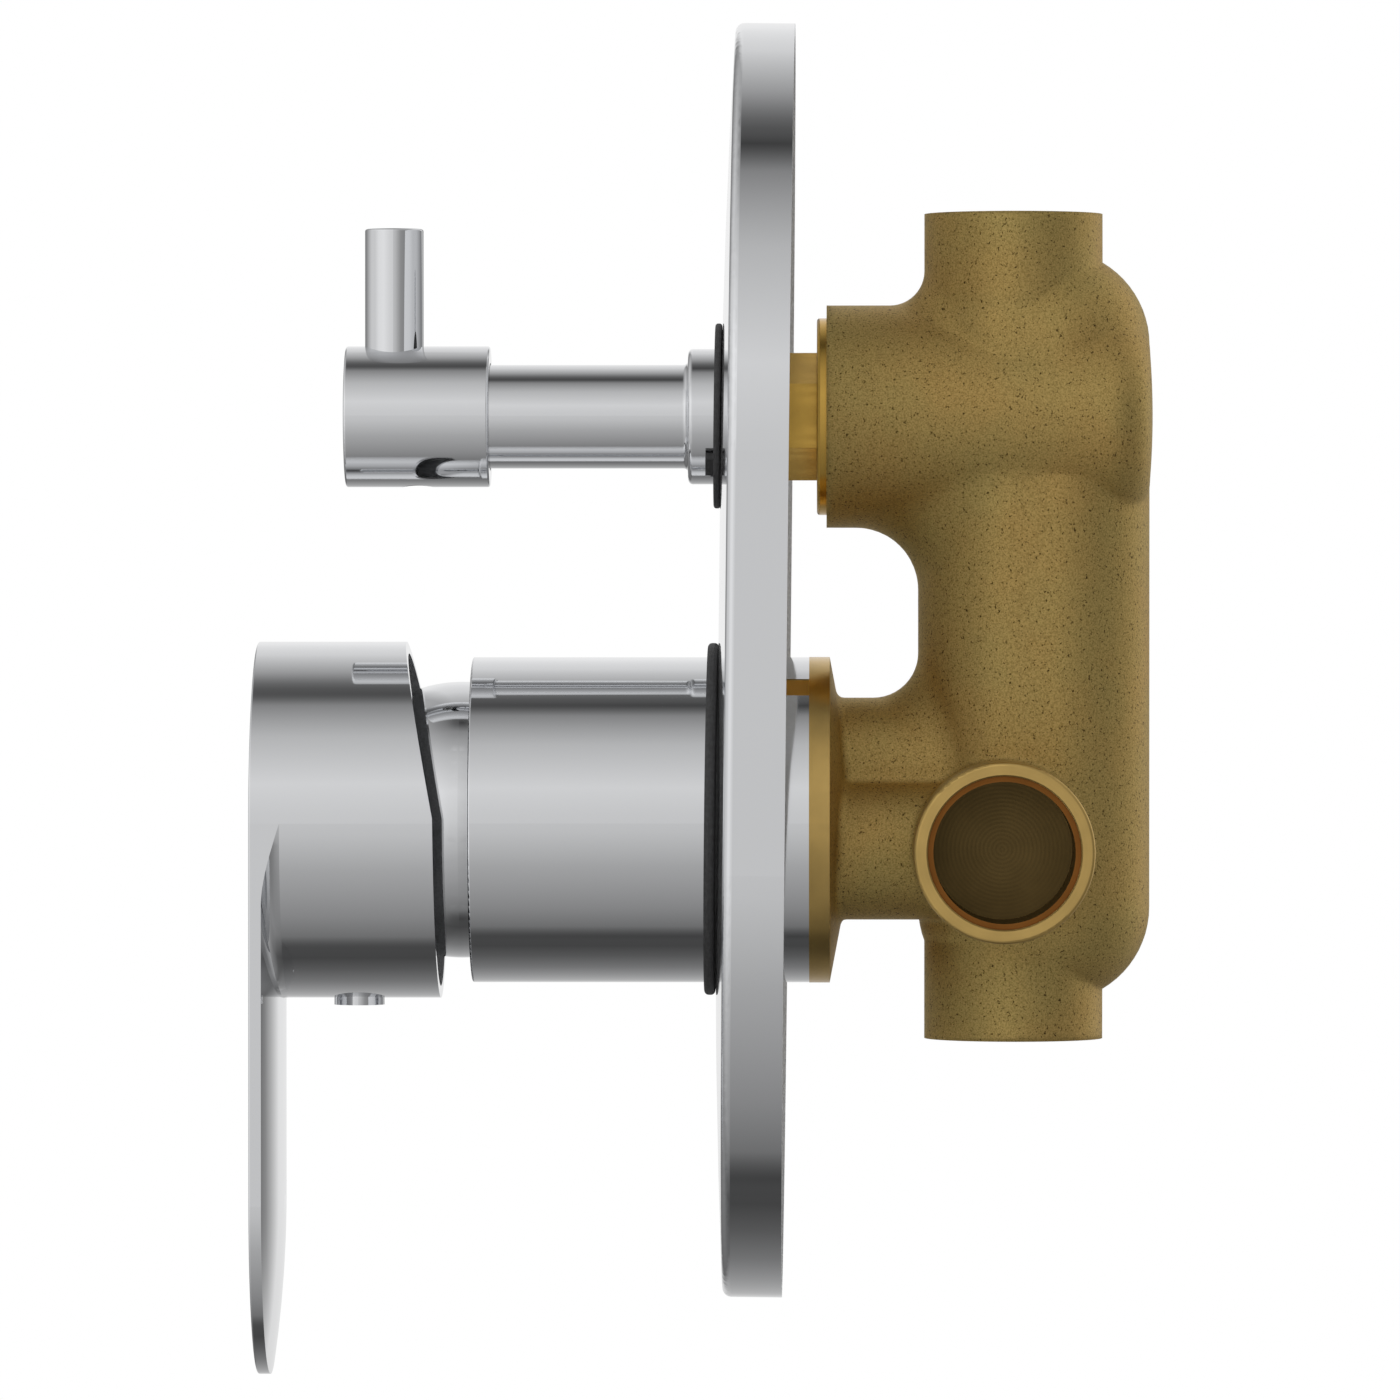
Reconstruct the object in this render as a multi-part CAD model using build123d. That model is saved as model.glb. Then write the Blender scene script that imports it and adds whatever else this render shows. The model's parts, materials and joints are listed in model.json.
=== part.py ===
from build123d import *
import os
from math import cos, radians, sin, sqrt

os.makedirs("parts", exist_ok=True)

# Concealed single-lever mixer with a diverter. Millimetres, +Z up.
# The origin is where the mixer's axis meets the wall plane. The user stands on the -Y side
# and the valve body lies behind the wall plane on the +Y side.

# Heights of the two control axes and place of the pipe line
MIXER_Z = 0.0
DIVERTER_Z = 58.4
PIPE_Y = 32.8
INLET_Y = 31.0
INLET_Z = -4.0

# Clearances, and how far a cut runs past the face it opens
RUNNING = 0.05
SLIP = 0.1
GASKET_GAP = 0.2
PAST = 1.0

# Pipe ports: four equal mouths, and a deeper bore in the two inlets
PORT_RADIUS = 10.1
PORT_DEPTH = 13.8
INLET_PORT_DEPTH = 21.5
PORT_RELIEF_RADIUS = PORT_RADIUS + 0.8
PORT_RELIEF_DEPTH = 1.2
PORT_CHAMFER = 0.2
PORT_LIP_ROUND = 0.5
STUB_RADIUS = 12.9
STUB_TOP = 87.7
STUB_BOTTOM = -31.6
INLET_REACH = 32.0

# Mixer cartridge, from its seat in the body forwards
CARTRIDGE_RADIUS = 17.4
CARTRIDGE_BORE = CARTRIDGE_RADIUS - 3.4
CARTRIDGE_NECK_RADIUS = CARTRIDGE_RADIUS - 3.0
CARTRIDGE_NECK_BORE = CARTRIDGE_NECK_RADIUS - 2.7
SEAT = -12.0
BASE_THICKNESS = 3.0
FIXED_DISC_THICKNESS = 4.0
FIXED_DISC_RADIUS = CARTRIDGE_BORE - 0.2
MOVING_DISC_THICKNESS = 3.5
MOVING_DISC_RADIUS = 10.8
CARRIER_RADIUS = MOVING_DISC_RADIUS + 0.8
CARRIER_THICKNESS = 6.1
FIXED_DISC_FRONT = SEAT - BASE_THICKNESS - FIXED_DISC_THICKNESS
MOVING_DISC_FRONT = FIXED_DISC_FRONT - MOVING_DISC_THICKNESS
CARRIER_FRONT = MOVING_DISC_FRONT - CARRIER_THICKNESS
DRIVER_BACK = CARRIER_FRONT - 0.4
DRIVER_STEP = DRIVER_BACK - 7.2
CARTRIDGE_SHOULDER = DRIVER_STEP - 2.3
CARTRIDGE_NECK_END = CARTRIDGE_SHOULDER - 7.5
DRIVER_FRONT = CARTRIDGE_NECK_END + 0.5
DISC_REST_OFFSET = 1.9
MIXING_HOLLOW_HALF_WIDTH = 6.0
MIXING_HOLLOW_LOW = 0.5
MIXING_HOLLOW_HIGH = 9.5
MIXING_HOLLOW_DEPTH = 1.8
SIDE_PORT_X = 7.5
SIDE_PORT_Z = -4.0
SIDE_PORT_RADIUS = 3.2
TOP_PORT_Z = 8.2
TOP_PORT_RADIUS = 3.4
SEAL_RIM = 1.2
SEAL_GAP = 0.5
SEAL_DEPTH = 0.9

# Spindle and its pivot pin
PIVOT_Y = CARTRIDGE_SHOULDER + 0.5
PIVOT_PIN_RADIUS = 1.5
PIVOT_PIN_HALF_LENGTH = CARTRIDGE_NECK_BORE - 1.2
PIVOT_EYE_RADIUS = 5.0
SPINDLE_SIDE = 7.0
SPINDLE_EYE_WIDTH = SPINDLE_SIDE - 0.2
SPINDLE_END = PIVOT_Y - 28.0
SPINDLE_ARM = CARRIER_FRONT + 1.6 - PIVOT_Y
SPINDLE_ARM_RADIUS = 2.0
SPINDLE_BALL_RADIUS = 2.6
BALL_SLOT = 2 * SPINDLE_BALL_RADIUS + 0.4
BALL_SLOT_FLOOR = 1.2
DRIVER_SLOT_WIDTH = SPINDLE_SIDE + 0.2
DRIVER_SLOT_LOW = -6.9
DRIVER_SLOT_HIGH = 7.0

# Barrel, nut, dome and sleeve round the cartridge
NUT_THREAD_RADIUS = CARTRIDGE_RADIUS + 1.4
NUT_BORE = CARTRIDGE_NECK_RADIUS + 0.2
NUT_COLLAR_RADIUS = NUT_BORE + 1.8
BARREL_RADIUS = NUT_THREAD_RADIUS + SLIP + 2.0
BARREL_FRONT = CARTRIDGE_SHOULDER - 3.5
NUT_FRONT = BARREL_FRONT - 7.0
NUT_SLOT = 3.0
NUT_SLOT_DEPTH = 2.5
DOME_RADIUS = BARREL_RADIUS - 0.9
DOME_CENTRE = BARREL_FRONT - 5.0
DOME_BACK = BARREL_FRONT - 0.3
DOME_FRONT = DOME_CENTRE - 8.0
DOME_BORE = NUT_COLLAR_RADIUS + SLIP
DOME_LIP = 2.0
DOME_OPENING = DOME_BORE - 1.5
DOME_EDGE = 0.5
SLEEVE_BORE = BARREL_RADIUS + 0.9
SLEEVE_RADIUS = SLEEVE_BORE + 1.75
SLEEVE_FRONT = BARREL_FRONT - 3.5
SLEEVE_LIP = 1.8
SLEEVE_OPENING = DOME_RADIUS + 0.4
SLEEVE_EDGE = 0.3
NOTCH_ANGLE = 55.5
NOTCH_WIDTH = 4.1
NOTCH_LENGTH = 4.2
KEY_DROP = 0.2
RING_GROOVE_RADIUS = BARREL_RADIUS - 1.0
RING_FRONT = BARREL_FRONT + 12.0
RING_WIDTH = 1.8

# Diverter, from the chamber's floor forwards
CAVITY_FLOOR = 33.0
DIVERTER_SEAL_FRONT = CAVITY_FLOOR - 2.5
DIVERTER_SEAT_FRONT = DIVERTER_SEAL_FRONT - 3.5
DIVERTER_DISC_FRONT = DIVERTER_SEAT_FRONT - 3.0
DIVERTER_FLANGE_FRONT = DIVERTER_DISC_FRONT - 3.0
HEADWORK_THREAD_END = DIVERTER_FLANGE_FRONT - 1.0
CAGE_END = CAVITY_FLOOR - 3.0
CHAMBER_FACE = 5.74
WASHER_THICKNESS = 1.39
HEX_BACK = CHAMBER_FACE - WASHER_THICKNESS
HEX_FRONT = HEX_BACK - 9.35
HEX_ACROSS_FLATS = 16.0
NECK_FRONT = HEX_FRONT - 11.0
CLIP_WIDTH = 1.0
CLIP_FRONT = NECK_FRONT - CLIP_WIDTH - 0.2
CLIP_GAP = 3.0
WASHER_RADIUS = 14.25
WASHER_ROUND = 0.45
HEADWORK_THREAD_RADIUS = 11.3
CAGE_RADIUS = HEADWORK_THREAD_RADIUS - 0.9
CAGE_BORE = CAGE_RADIUS - 0.9
CAGE_WINDOW = 9.0
CAGE_RIM = 0.5
HEAD_RING_RADIUS = HEADWORK_THREAD_RADIUS + 0.05
HEAD_RING_WIDTH = 1.6
HEAD_RING_DEPTH = 1.0
DIVERTER_FLANGE_RADIUS = CAGE_BORE - 0.7
DIVERTER_SEAT_RADIUS = CAGE_BORE - SLIP
DIVERTER_PORT_RADIUS = 3.2
DIVERTER_DISC_WEB = 1.0
DIVERTER_SPINDLE_RADIUS = 3.5
CLIP_GROOVE_RADIUS = DIVERTER_SPINDLE_RADIUS - 0.6
CLIP_RADIUS = DIVERTER_SPINDLE_RADIUS + 1.7

# Cover plate
PLATE_RADIUS = 62.75
PLATE_LOW_CENTRE = -6.4
PLATE_HIGH_CENTRE = 52.5
PLATE_DEPTH = 8.5
PLATE_DOME = 1.6
PLATE_FACE = -PLATE_DEPTH - PLATE_DOME
PLATE_WALL = 1.8
PLATE_FRONT_EDGE = 1.3
PLATE_LEAN = 0.6

# Tube over the diverter spindle, knob and finger pin
TUBE_RADIUS = 7.5
TUBE_BORE = TUBE_RADIUS - 0.9
TUBE_BACK = HEX_FRONT - 1.0
TUBE_FRONT = TUBE_BACK - 39.0
COLLAR_RADIUS = TUBE_RADIUS + 2.3
COLLAR_FRONT = PLATE_FACE - 4.2
COLLAR_ROUND = 0.7
KNOB_RADIUS = 10.2
KNOB_BACK = TUBE_FRONT + 2.0
KNOB_FRONT = KNOB_BACK - 20.9
KNOB_SKIRT_BORE = TUBE_RADIUS + 0.3
KNOB_SKIRT_DEPTH = 2.6
KNOB_EDGE = 0.35
DIVERTER_SPINDLE_END = KNOB_FRONT + 3.4
KNOB_PIN_RADIUS = 4.26
KNOB_PIN_Y = KNOB_FRONT + 7.0
KNOB_PIN_TOP = DIVERTER_Z + 27.2
KNOB_PIN_SEAT = DIVERTER_Z + DIVERTER_SPINDLE_RADIUS + 3.3
KNOB_STUD_RADIUS = 2.5
KNOB_STUD_LENGTH = 2.9
KNOB_PIN_EDGE = 0.35
KNOB_SCREW_Y = KNOB_FRONT + 10.4
KNOB_SCREW_RADIUS = 2.3
KNOB_SCREW_LENGTH = 5.0
KNOB_KEY_RADIUS = 1.2
KNOB_KEY_DEPTH = 2.0

# Rubber gaskets: a lip on the plate's face and a spigot in its hole
GASKET_SPIGOT = 0.95
GASKET_SPIGOT_BACK = PLATE_FACE + 3.5
GASKET_ROUND_SHARE = 0.4
SLEEVE_GASKET_BORE = SLEEVE_RADIUS + GASKET_GAP
SLEEVE_GASKET_RADIUS = SLEEVE_GASKET_BORE + 1.75
SLEEVE_GASKET_FRONT = PLATE_FACE - 1.6
PLATE_SLEEVE_HOLE = SLEEVE_GASKET_BORE + GASKET_SPIGOT
TUBE_GASKET_BORE = COLLAR_RADIUS + GASKET_GAP
TUBE_GASKET_RADIUS = TUBE_GASKET_BORE + 3.4
TUBE_GASKET_FRONT = PLATE_FACE - 1.0
PLATE_TUBE_HOLE = TUBE_GASKET_BORE + GASKET_SPIGOT
NUB_ANGLE = -41.0
NUB_SIZE = 3.0
NUB_FRONT = TUBE_GASKET_FRONT - 1.15
NUB_ROOT = 0.5

# Lever handle: a round cap and a round-ended blade cast in one
CAP_RADIUS = 25.8
CAP_BORE = CAP_RADIUS - 1.7
CAP_FRONT = -76.6
CAP_FRONT_WALL = 3.2
CAP_REAR = -50.1
CAP_REAR_MIDDLE = CAP_REAR - 0.3
CAP_REAR_TOP = CAP_REAR - 5.0
CAP_REAR_KINK_Z = 0.7
BLADE_TIP = -80.4
BLADE_EDGE = 1.8
BLADE_CROWN = 3.73
HANDLE_EDGE = 0.25
SCOOP = 2.6
BOSS_RADIUS = 7.0
BOSS_BACK = DOME_FRONT - 1.5
BOSS_ROOT = 1.0
SOCKET_END = SPINDLE_END - 0.2
WEB_WIDTH = 8.0
WEB_BACK = BOSS_BACK - 1.0
WEB_ROOT = 0.5
HANDLE_SCREW_Y = SPINDLE_END + 4.0
HANDLE_SCREW_RADIUS = 2.5
HANDLE_SCREW_LENGTH = 5.4
HANDLE_KEY_RADIUS = 1.4
HANDLE_KEY_DEPTH = 2.2
INDEX_RADIUS = 3.65
INDEX_STAND_OUT = 1.0
INDEX_DEPTH = 1.7
INDEX_RING = 0.7
INDEX_DISH = 0.5

# Cast body: flange, neck, column and chamber
FLANGE_RADIUS = SLEEVE_RADIUS + 0.05
FLANGE_FRONT = 3.25
FLANGE_BACK = 6.2
FLANGE_DRAFT_END = 8.4
FLANGE_DRAFT_RADIUS = 12.0
UPPER_LOBE_RADIUS = 10.5
UPPER_LOBE_Z = 7.2
LOWER_LOBE_RADIUS = 10.1
LOWER_LOBE_Z = -4.1
LOWER_LOBE_SPREAD = 8.0
NECK_END = 28.8
COLUMN_RADIUS = 13.8
COLUMN_BACK_AXIS = 38.7
COLUMN_LOW = -12.6
COLUMN_HIGH = 68.8
CAVITY_RADIUS = HEADWORK_THREAD_RADIUS + SLIP
CHAMBER_RADIUS = 16.1
CHAMBER_BACK = 52.9
CHAMBER_CROWN = 0.45
CHAMBER_ROUND = 6.0
TOP_BLEND = 5.0
WINDOW_TOP_BLEND = 9.0
WINDOW_LOW_BLEND = 6.5
CAST_BLEND = 1.2

# Water passages inside the body
INLET_PASSAGE_RADIUS = 2.8
INLET_PASSAGE_X = 14.0
INLET_PASSAGE_END = INLET_Y - 7.0
MIXED_RADIUS = 4.0
MIXED_Y = 26.5
OUTLET_HOLE_OFFSET = 5.5
OUTLET_HOLE_RADIUS = 3.8
SHOWER_PASSAGE_Y = PIPE_Y + 5.8
BATH_PASSAGE_Y = PIPE_Y + 10.6
PASSAGE_OVERRUN = 3.0


def rod(radius, start, end, x=0.0, z=0.0):
    """Round bar along Y from start to end."""
    return Pos(x, (start + end) / 2, z) * Rot(90, 0, 0) * Cylinder(radius, end - start)


def tube(outer, inner, start, end, x=0.0, z=0.0):
    """Ring or pipe along Y."""
    return rod(outer, start, end, x, z) - rod(inner, start - PAST, end + PAST, x, z)


def upright(radius, low, high, y=0.0, x=0.0):
    """Round bar along Z from low to high."""
    return Pos(x, y, (low + high) / 2) * Cylinder(radius, high - low)


def crosswise(radius, reach, y, z):
    """Round bar along X, as far to the left as to the right."""
    return Pos(0, y, z) * Rot(0, 90, 0) * Cylinder(radius, 2 * reach)


def block(x, y, z):
    """Box between the two ends given for each direction."""
    size = [end - start for start, end in (x, y, z)]
    middle = [(start + end) / 2 for start, end in (x, y, z)]
    return Pos(*middle) * Box(*size)


def turned(outline, z=0.0):
    """Turned piece: an outline of (radius, y) corners spun round the Y direction at height z."""
    face = make_face(Polyline(*outline, close=True))
    return Pos(0, 0, z) * revolve(face, Axis.Y)


def hexagon(across_flats, start, end, z):
    """Hexagonal bar along Y with a corner at the top."""
    face = RegularPolygon(across_flats / 2, 6, major_radius=False, rotation=30)
    bar = extrude(Plane.XZ.offset(-end) * face, amount=end - start)
    return Pos(0, 0, z) * bar


def pillow(radius, low, high, flat, edge, crown):
    """Round-ended slab with a flat face at one depth and a gently domed face.

    The domed face stands at edge all along its outline and at crown on its middle line.
    """
    rise = crown - edge
    bend = (radius**2 + rise**2) / (2 * rise)
    half_way = crown - bend + (1 if rise > 0 else -1) * sqrt(bend**2 - (radius / 2) ** 2)
    half = make_face(
        [
            Line((0, crown), (0, flat)),
            Line((0, flat), (radius, flat)),
            Line((radius, flat), (radius, edge)),
            ThreePointArc((radius, edge), (radius / 2, half_way), (0, crown)),
        ]
    )
    whole = make_face(
        [
            Line((-radius, edge), (-radius, flat)),
            Line((-radius, flat), (radius, flat)),
            Line((radius, flat), (radius, edge)),
            ThreePointArc((radius, edge), (0, crown), (-radius, edge)),
        ]
    )
    end = revolve(half, Axis.Y, revolution_arc=180)
    lower = Pos(0, 0, low) * end
    upper = Pos(0, 0, high) * Rot(0, 180, 0) * end
    middle = extrude(Pos(0, 0, low) * whole, amount=high - low, dir=(0, 0, 1))
    return lower + middle + upper


def edges_at(shape, y, reach=0.05):
    """Edges that lie wholly in the plane at depth y."""
    return [
        e
        for e in shape.edges()
        if abs(e.bounding_box().min.Y - y) < reach and abs(e.bounding_box().max.Y - y) < reach
    ]


def port_tool(depth):
    """Bore, relief and chamfer cut from a pipe end whose mouth is at the origin and faces +Z."""
    bore = upright(PORT_RADIUS, -depth, PAST)
    relief = upright(PORT_RELIEF_RADIUS, -PORT_RELIEF_DEPTH, PAST)
    cone = Cone(PORT_RELIEF_RADIUS, PORT_RELIEF_RADIUS + PORT_CHAMFER, PORT_CHAMFER)
    return bore + relief + Pos(0, 0, -PORT_CHAMFER / 2) * cone


def column():
    """Deep round-edged column that joins the chamber to the lower pipe, with ball-shaped corners."""
    shape = upright(COLUMN_RADIUS, COLUMN_LOW, COLUMN_HIGH, PIPE_Y)
    shape += upright(COLUMN_RADIUS, COLUMN_LOW, COLUMN_HIGH, COLUMN_BACK_AXIS)
    shape += block(
        (-COLUMN_RADIUS, COLUMN_RADIUS), (PIPE_Y, COLUMN_BACK_AXIS), (COLUMN_LOW, COLUMN_HIGH)
    )
    for z in (COLUMN_LOW, COLUMN_HIGH):
        shape += rod(COLUMN_RADIUS, PIPE_Y, COLUMN_BACK_AXIS, z=z)
        shape += Pos(0, PIPE_Y, z) * Sphere(COLUMN_RADIUS)
        shape += Pos(0, COLUMN_BACK_AXIS, z) * Sphere(COLUMN_RADIUS)
    return shape


def chamber():
    """Round diverter chamber with a rounded, slightly domed back."""
    shoulder = CHAMBER_BACK - CHAMBER_CROWN
    inner = CHAMBER_RADIUS - CHAMBER_ROUND
    diagonal = CHAMBER_ROUND * cos(radians(45))
    face = make_face(
        [
            Line((0, CHAMBER_BACK), (0, CHAMBER_FACE)),
            Line((0, CHAMBER_FACE), (CHAMBER_RADIUS, CHAMBER_FACE)),
            Line((CHAMBER_RADIUS, CHAMBER_FACE), (CHAMBER_RADIUS, shoulder - CHAMBER_ROUND)),
            ThreePointArc(
                (CHAMBER_RADIUS, shoulder - CHAMBER_ROUND),
                (inner + diagonal, shoulder - CHAMBER_ROUND + diagonal),
                (inner, shoulder),
            ),
            ThreePointArc(
                (inner, shoulder), (inner / 2, CHAMBER_BACK - CHAMBER_CROWN / 4), (0, CHAMBER_BACK)
            ),
        ]
    )
    return Pos(0, 0, DIVERTER_Z) * revolve(face, Axis.Y)


def curved_edges(shape, low, high):
    """Edges where two round bodies meet, taken between two heights."""
    return [
        e
        for e in shape.edges()
        if e.geom_type not in (GeomType.LINE, GeomType.CIRCLE) and low < e.center().Z < high
    ]


def upper_junction():
    """Chamber, column and upper pipe where they meet, with the casting's round corners."""
    shape = rod(CHAMBER_RADIUS, CHAMBER_FACE, CHAMBER_BACK + CHAMBER_RADIUS, z=DIVERTER_Z)
    shape += upright(COLUMN_RADIUS, COLUMN_LOW, DIVERTER_Z, PIPE_Y)
    shape += upright(STUB_RADIUS, DIVERTER_Z, STUB_TOP, PIPE_Y)
    shape = fillet(curved_edges(shape, UPPER_LOBE_Z, DIVERTER_Z), WINDOW_TOP_BLEND)
    shape = fillet(curved_edges(shape, DIVERTER_Z + STUB_RADIUS / 2, STUB_TOP), TOP_BLEND)
    front_half = block(
        (-CHAMBER_BACK, CHAMBER_BACK), (0, PIPE_Y + STUB_RADIUS), (STUB_BOTTOM, STUB_TOP + PAST)
    )
    return shape & front_half


def lower_junction():
    """Column and upper water way where they meet, with the casting's round corner."""
    shape = upright(COLUMN_RADIUS, COLUMN_LOW, DIVERTER_Z - CHAMBER_RADIUS, PIPE_Y)
    shape += rod(UPPER_LOBE_RADIUS, FLANGE_BACK, PIPE_Y, z=UPPER_LOBE_Z)
    return fillet(curved_edges(shape, COLUMN_LOW, DIVERTER_Z), WINDOW_LOW_BLEND)


def neck():
    """Three water ways side by side, seen from outside as one upper lobe on a wide lower one."""
    shape = rod(UPPER_LOBE_RADIUS, FLANGE_BACK, NECK_END, z=UPPER_LOBE_Z)
    for x in (-LOWER_LOBE_SPREAD, LOWER_LOBE_SPREAD):
        shape += rod(LOWER_LOBE_RADIUS, FLANGE_BACK, NECK_END, x, LOWER_LOBE_Z)
    shape += block(
        (-LOWER_LOBE_SPREAD, LOWER_LOBE_SPREAD),
        (FLANGE_BACK, NECK_END),
        (LOWER_LOBE_Z - LOWER_LOBE_RADIUS, LOWER_LOBE_Z + LOWER_LOBE_RADIUS),
    )
    lines = shape.edges().filter_by(GeomType.LINE)
    shape = fillet([e for e in lines if 0 < e.center().Z < UPPER_LOBE_Z], CAST_BLEND)
    shape = (shape + flange()).clean()
    foot = [
        e
        for e in shape.edges()
        if e.center().Y > FLANGE_BACK + CAST_BLEND / 2
        and e.bounding_box().max.Y < FLANGE_DRAFT_END + CAST_BLEND / 2
    ]
    return fillet(foot, CAST_BLEND)


def flange():
    """Machined flange with a drafted back."""
    return turned(
        [
            (0, FLANGE_FRONT),
            (FLANGE_RADIUS, FLANGE_FRONT),
            (FLANGE_RADIUS, FLANGE_BACK),
            (FLANGE_DRAFT_RADIUS, FLANGE_DRAFT_END),
            (0, FLANGE_DRAFT_END),
        ]
    )


def slanted_passage(side):
    """Water way from one inlet port to its opening in the cartridge seat."""
    start = Vector(side * SIDE_PORT_X, SEAT - PAST, SIDE_PORT_Z)
    end = Vector(side * INLET_PASSAGE_X, INLET_PASSAGE_END, INLET_Z)
    run = end - start
    return Plane(origin=(start + end) / 2, z_dir=run) * Cylinder(INLET_PASSAGE_RADIUS, run.length)


def inlets():
    """The two inlet pipe ends in one bar across the body, with rounded lips."""
    shape = crosswise(STUB_RADIUS, INLET_REACH, INLET_Y, INLET_Z)
    return fillet(shape.edges().filter_by(GeomType.CIRCLE), PORT_LIP_ROUND)


def sleeve_key():
    """Brass key on the barrel that keeps the sleeve from turning."""
    half = NOTCH_WIDTH / 2 - SLIP
    shape = block(
        (BARREL_RADIUS - PAST, SLEEVE_RADIUS - KEY_DROP),
        (FLANGE_FRONT - NOTCH_LENGTH + SLIP, FLANGE_FRONT + PAST),
        (-half, half),
    )
    return Rot(0, -NOTCH_ANGLE, 0) * shape


def passages():
    """Everything hollow inside the body."""
    cut = Pos(0, PIPE_Y, STUB_TOP) * port_tool(PORT_DEPTH)
    cut += Pos(0, PIPE_Y, STUB_BOTTOM) * Rot(180, 0, 0) * port_tool(PORT_DEPTH)
    for side in (-1, 1):
        mouth = Pos(side * INLET_REACH, INLET_Y, INLET_Z) * Rot(0, side * 90, 0)
        cut += mouth * port_tool(INLET_PORT_DEPTH)
        cut += slanted_passage(side)
    cut += rod(CARTRIDGE_RADIUS + SLIP, CARTRIDGE_SHOULDER, SEAT)
    cut += rod(NUT_THREAD_RADIUS + SLIP, BARREL_FRONT - PAST, CARTRIDGE_SHOULDER)
    cut += rod(MIXED_RADIUS, SEAT - PAST, MIXED_Y, z=TOP_PORT_Z)
    cut += Pos(0, MIXED_Y, TOP_PORT_Z) * Sphere(MIXED_RADIUS)
    cavity_low = DIVERTER_Z - CAVITY_RADIUS
    cut += upright(MIXED_RADIUS, TOP_PORT_Z, cavity_low + PASSAGE_OVERRUN, MIXED_Y)
    cut += rod(CAVITY_RADIUS, CHAMBER_FACE - PAST, CAVITY_FLOOR, z=DIVERTER_Z)
    shower_z = DIVERTER_Z + OUTLET_HOLE_OFFSET
    bath_z = DIVERTER_Z - OUTLET_HOLE_OFFSET
    top = STUB_TOP - PORT_DEPTH
    low = STUB_BOTTOM + PORT_DEPTH
    cut += rod(OUTLET_HOLE_RADIUS, CAVITY_FLOOR - PAST, SHOWER_PASSAGE_Y, z=shower_z)
    cut += upright(OUTLET_HOLE_RADIUS, shower_z, top + PAST, SHOWER_PASSAGE_Y)
    cut += rod(OUTLET_HOLE_RADIUS, CAVITY_FLOOR - PAST, BATH_PASSAGE_Y, z=bath_z)
    cut += upright(OUTLET_HOLE_RADIUS, low - PAST, bath_z, BATH_PASSAGE_Y)
    return cut


def valve_body():
    """One brass casting: flange, barrel, neck, column, chamber and four pipe ends."""
    outer = upright(STUB_RADIUS, STUB_BOTTOM, STUB_TOP, PIPE_Y)
    outer += column()
    outer += chamber()
    outer += upper_junction()
    outer += lower_junction()
    outer += neck()
    outer += inlets()
    outer = outer.clean()
    outer += rod(BARREL_RADIUS, BARREL_FRONT, FLANGE_FRONT)
    outer += sleeve_key()
    groove = tube(BARREL_RADIUS + PAST, RING_GROOVE_RADIUS, RING_FRONT, RING_FRONT + RING_WIDTH)
    return outer - passages() - groove


def port_places():
    """Where water passes through the cartridge base: x, z and radius of each opening."""
    return [
        (-SIDE_PORT_X, SIDE_PORT_Z, SIDE_PORT_RADIUS),
        (SIDE_PORT_X, SIDE_PORT_Z, SIDE_PORT_RADIUS),
        (0.0, TOP_PORT_Z, TOP_PORT_RADIUS),
    ]


def seal_ring(x, z, radius, back):
    """Ring round one port, from the foot of its groove to the depth given."""
    inner = radius + SEAL_GAP
    return tube(inner + SEAL_RIM, inner, SEAT - SEAL_DEPTH, back, x, z)


def cartridge_base():
    """Plastic foot of the cartridge with three ports and a groove round each."""
    shape = rod(CARTRIDGE_RADIUS, SEAT - BASE_THICKNESS, SEAT)
    for x, z, radius in port_places():
        shape -= rod(radius, SEAT - BASE_THICKNESS - PAST, SEAT + PAST, x, z)
        shape -= seal_ring(x, z, radius, SEAT + PAST)
    return shape


def base_seals():
    """Three rubber rings between the cartridge and its seat."""
    return Compound([seal_ring(x, z, radius, SEAT).solid() for x, z, radius in port_places()])


def fixed_disc():
    """Ceramic disc that stands still, with three ports."""
    back = SEAT - BASE_THICKNESS
    shape = rod(FIXED_DISC_RADIUS, FIXED_DISC_FRONT, back)
    for x, z, radius in port_places():
        shape -= rod(radius, FIXED_DISC_FRONT - PAST, back + PAST, x, z)
    return shape


def moving_disc():
    """Ceramic disc that slides, with the mixing hollow in its back."""
    back = FIXED_DISC_FRONT
    shape = rod(MOVING_DISC_RADIUS, MOVING_DISC_FRONT, back, z=DISC_REST_OFFSET)
    hollow = block(
        (-MIXING_HOLLOW_HALF_WIDTH, MIXING_HOLLOW_HALF_WIDTH),
        (back - MIXING_HOLLOW_DEPTH, back + PAST),
        (MIXING_HOLLOW_LOW, MIXING_HOLLOW_HIGH),
    )
    return shape - hollow


def disc_carrier():
    """Plastic shoe that holds the moving disc and takes the end of the spindle."""
    shape = rod(CARRIER_RADIUS, CARRIER_FRONT, MOVING_DISC_FRONT, z=DISC_REST_OFFSET)
    half = BALL_SLOT / 2
    slot = (CARRIER_FRONT - PAST, MOVING_DISC_FRONT - BALL_SLOT_FLOOR)
    return shape - block((-half, half), slot, (-half, half))


def cartridge_driver():
    """Plastic rotor that turns with the lever and carries the pivot pin."""
    shape = rod(CARTRIDGE_BORE - SLIP, DRIVER_STEP, DRIVER_BACK)
    shape += rod(CARTRIDGE_NECK_BORE - SLIP, DRIVER_FRONT, DRIVER_STEP)
    half = DRIVER_SLOT_WIDTH / 2
    depth = (DRIVER_FRONT - PAST, DRIVER_BACK + PAST)
    slot = block((-half, half), depth, (DRIVER_SLOT_LOW, DRIVER_SLOT_HIGH))
    return shape - slot - crosswise(PIVOT_PIN_RADIUS, PIVOT_PIN_HALF_LENGTH, PIVOT_Y, 0)


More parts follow.
